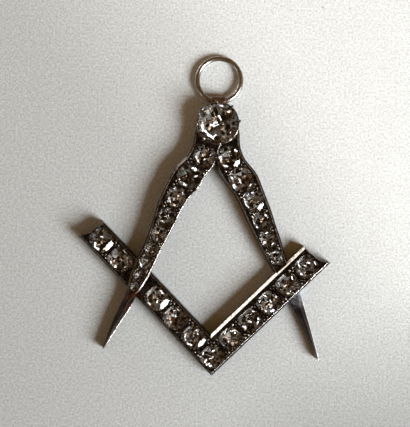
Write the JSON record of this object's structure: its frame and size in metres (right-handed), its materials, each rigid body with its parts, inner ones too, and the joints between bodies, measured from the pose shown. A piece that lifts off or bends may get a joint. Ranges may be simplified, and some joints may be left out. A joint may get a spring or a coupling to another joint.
{
  "type": "masonic jewel",
  "caption": "Pendant jewel of crossed compasses and square in dark silver, set with rows of faceted paste stones, a round head stone and a swinging ring.",
  "frame": {"origin": "on the surface that the jewel lies on, under the middle of its box", "axes": "+Z out of the jewel's face, +Y from the square's corner towards the ring, +X to the right as the face is seen"},
  "size_m": [0.0508, 0.0644, 0.0044],
  "materials": {
    "silver": "old silver, tarnished dark, with bright worn edges",
    "ring_silver": "silver wire, lightly tarnished",
    "paste_stone": "colourless cut paste over darkened foil"
  },
  "bodies": {
    "jewel": {"square_and_compasses": "silver", "head_stone": "paste_stone", "corner_stone": "paste_stone", "left_leg_stone_1": "paste_stone", "left_leg_stone_2": "paste_stone", "left_leg_stone_3": "paste_stone", "left_leg_stone_4": "paste_stone", "left_leg_stone_5": "paste_stone", "left_leg_stone_6": "paste_stone", "left_leg_stone_7": "paste_stone", "left_leg_stone_8": "paste_stone", "left_leg_stone_9": "paste_stone", "right_leg_stone_1": "paste_stone", "right_leg_stone_2": "paste_stone", "right_leg_stone_3": "paste_stone", "right_leg_stone_4": "paste_stone", "right_leg_stone_5": "paste_stone", "right_leg_stone_6": "paste_stone", "left_arm_stone_1": "paste_stone", "left_arm_stone_2": "paste_stone", "left_arm_stone_3": "paste_stone", "left_arm_stone_4": "paste_stone", "left_arm_stone_5": "paste_stone", "right_arm_stone_1": "paste_stone", "right_arm_stone_2": "paste_stone", "right_arm_stone_3": "paste_stone", "right_arm_stone_4": "paste_stone", "right_arm_stone_5": "paste_stone"},
    "ring": {"suspension_ring": "ring_silver"}
  },
  "joints": [
    {"name": "ring_swing", "type": "hinge", "parent": "jewel", "child": "ring", "pos_m": [0.00212, 0.02297, 0.00102], "axis": [1, 0, 0], "range_deg": [0, 110]}
  ]
}
